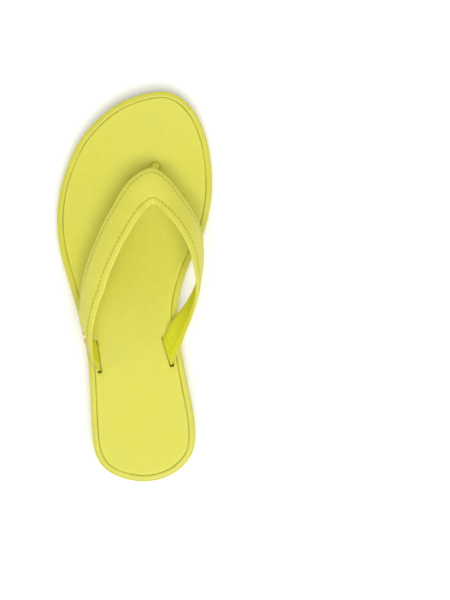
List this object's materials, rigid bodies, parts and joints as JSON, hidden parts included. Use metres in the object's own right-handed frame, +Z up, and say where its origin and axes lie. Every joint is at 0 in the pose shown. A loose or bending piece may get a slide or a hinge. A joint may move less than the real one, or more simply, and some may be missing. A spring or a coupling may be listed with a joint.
{
  "type": "flip flop",
  "caption": "Flat thong sandal with a contoured layered sole, raised rim, inset footbed and a V-shaped band strap that runs from a toe post to a slot on each side.",
  "frame": {"origin": "middle of the sole's bounding box, on the ground under the outsole", "axes": "+Y from heel to toes, +X towards the big-toe side of this left shoe, +Z up"},
  "size_m": [0.0982, 0.25, 0.0517],
  "materials": {
    "upper_leather": "matte lime leather",
    "lining_leather": "matte lime lining leather",
    "footbed_leather": "matte lime sock leather",
    "wrap_leather": "smooth lime synthetic leather",
    "outsole_rubber": "matte lime rubber",
    "foam": "closed-cell foam",
    "fibreboard": "pressed cellulose board",
    "tape_fabric": "woven nylon",
    "post_plastic": "moulded nylon",
    "stud_metal": "polished pale gold",
    "tack_steel": "plain steel"
  },
  "bodies": {
    "sole": {"outsole": "outsole_rubber", "midsole": "foam", "insole_board": "fibreboard", "footbed_foam": "foam", "footbed_cover": "footbed_leather", "sole_wrap": "wrap_leather", "toe_post_core": "post_plastic", "toe_post_wrap": "upper_leather", "toe_post_washer": "post_plastic", "lateral_strap_tab": "lining_leather", "medial_strap_tab": "lining_leather", "lateral_tab_tack": "tack_steel", "medial_tab_tack": "tack_steel"},
    "strap": {"strap_upper": "upper_leather", "strap_reinforcement": "tape_fabric", "strap_lining": "lining_leather", "emblem_stud": "stud_metal", "emblem_washer": "stud_metal"}
  },
  "joints": [
    {"name": "strap_fold", "type": "hinge", "parent": "sole", "child": "strap", "pos_m": [0.00355, -0.04328, 0.018], "axis": [0.9921, 0.1256, 0], "range_deg": [-5, 0], "stiffness_Nm_per_rad": 1.5, "springref_deg": 1.15, "deforming": ["toe_post_core", "toe_post_wrap"]}
  ]
}
